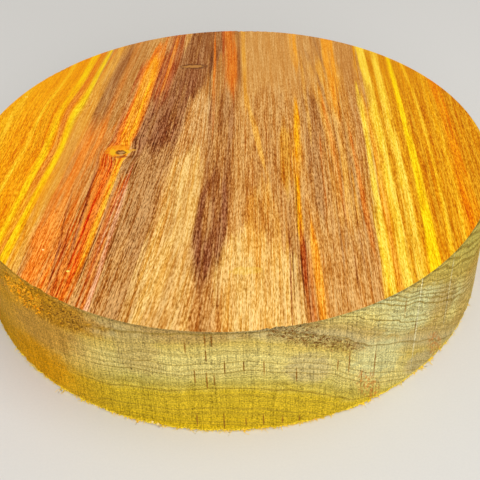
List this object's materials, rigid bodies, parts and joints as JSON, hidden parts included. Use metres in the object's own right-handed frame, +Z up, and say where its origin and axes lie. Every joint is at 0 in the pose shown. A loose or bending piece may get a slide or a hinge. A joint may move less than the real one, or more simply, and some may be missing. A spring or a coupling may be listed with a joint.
{
  "type": "canarywood bowl blank",
  "caption": "Round slab of solid canarywood with a planed top and a bandsawn side, ready to be turned into a bowl on a lathe.",
  "frame": {"origin": "middle of the sawn underside", "axes": "+Z up out of the planed face, along the disc's axis; Y along the grain, so the sides facing -Y and +Y are end grain; X across the grain"},
  "size_m": [0.2032, 0.2032, 0.0484],
  "materials": {
    "canarywood": "satin where it is planed on top, dull and faintly ribbed where the saw cut it round the side"
  },
  "bodies": {
    "root": {"bowl_blank": "canarywood"}
  },
  "joints": []
}
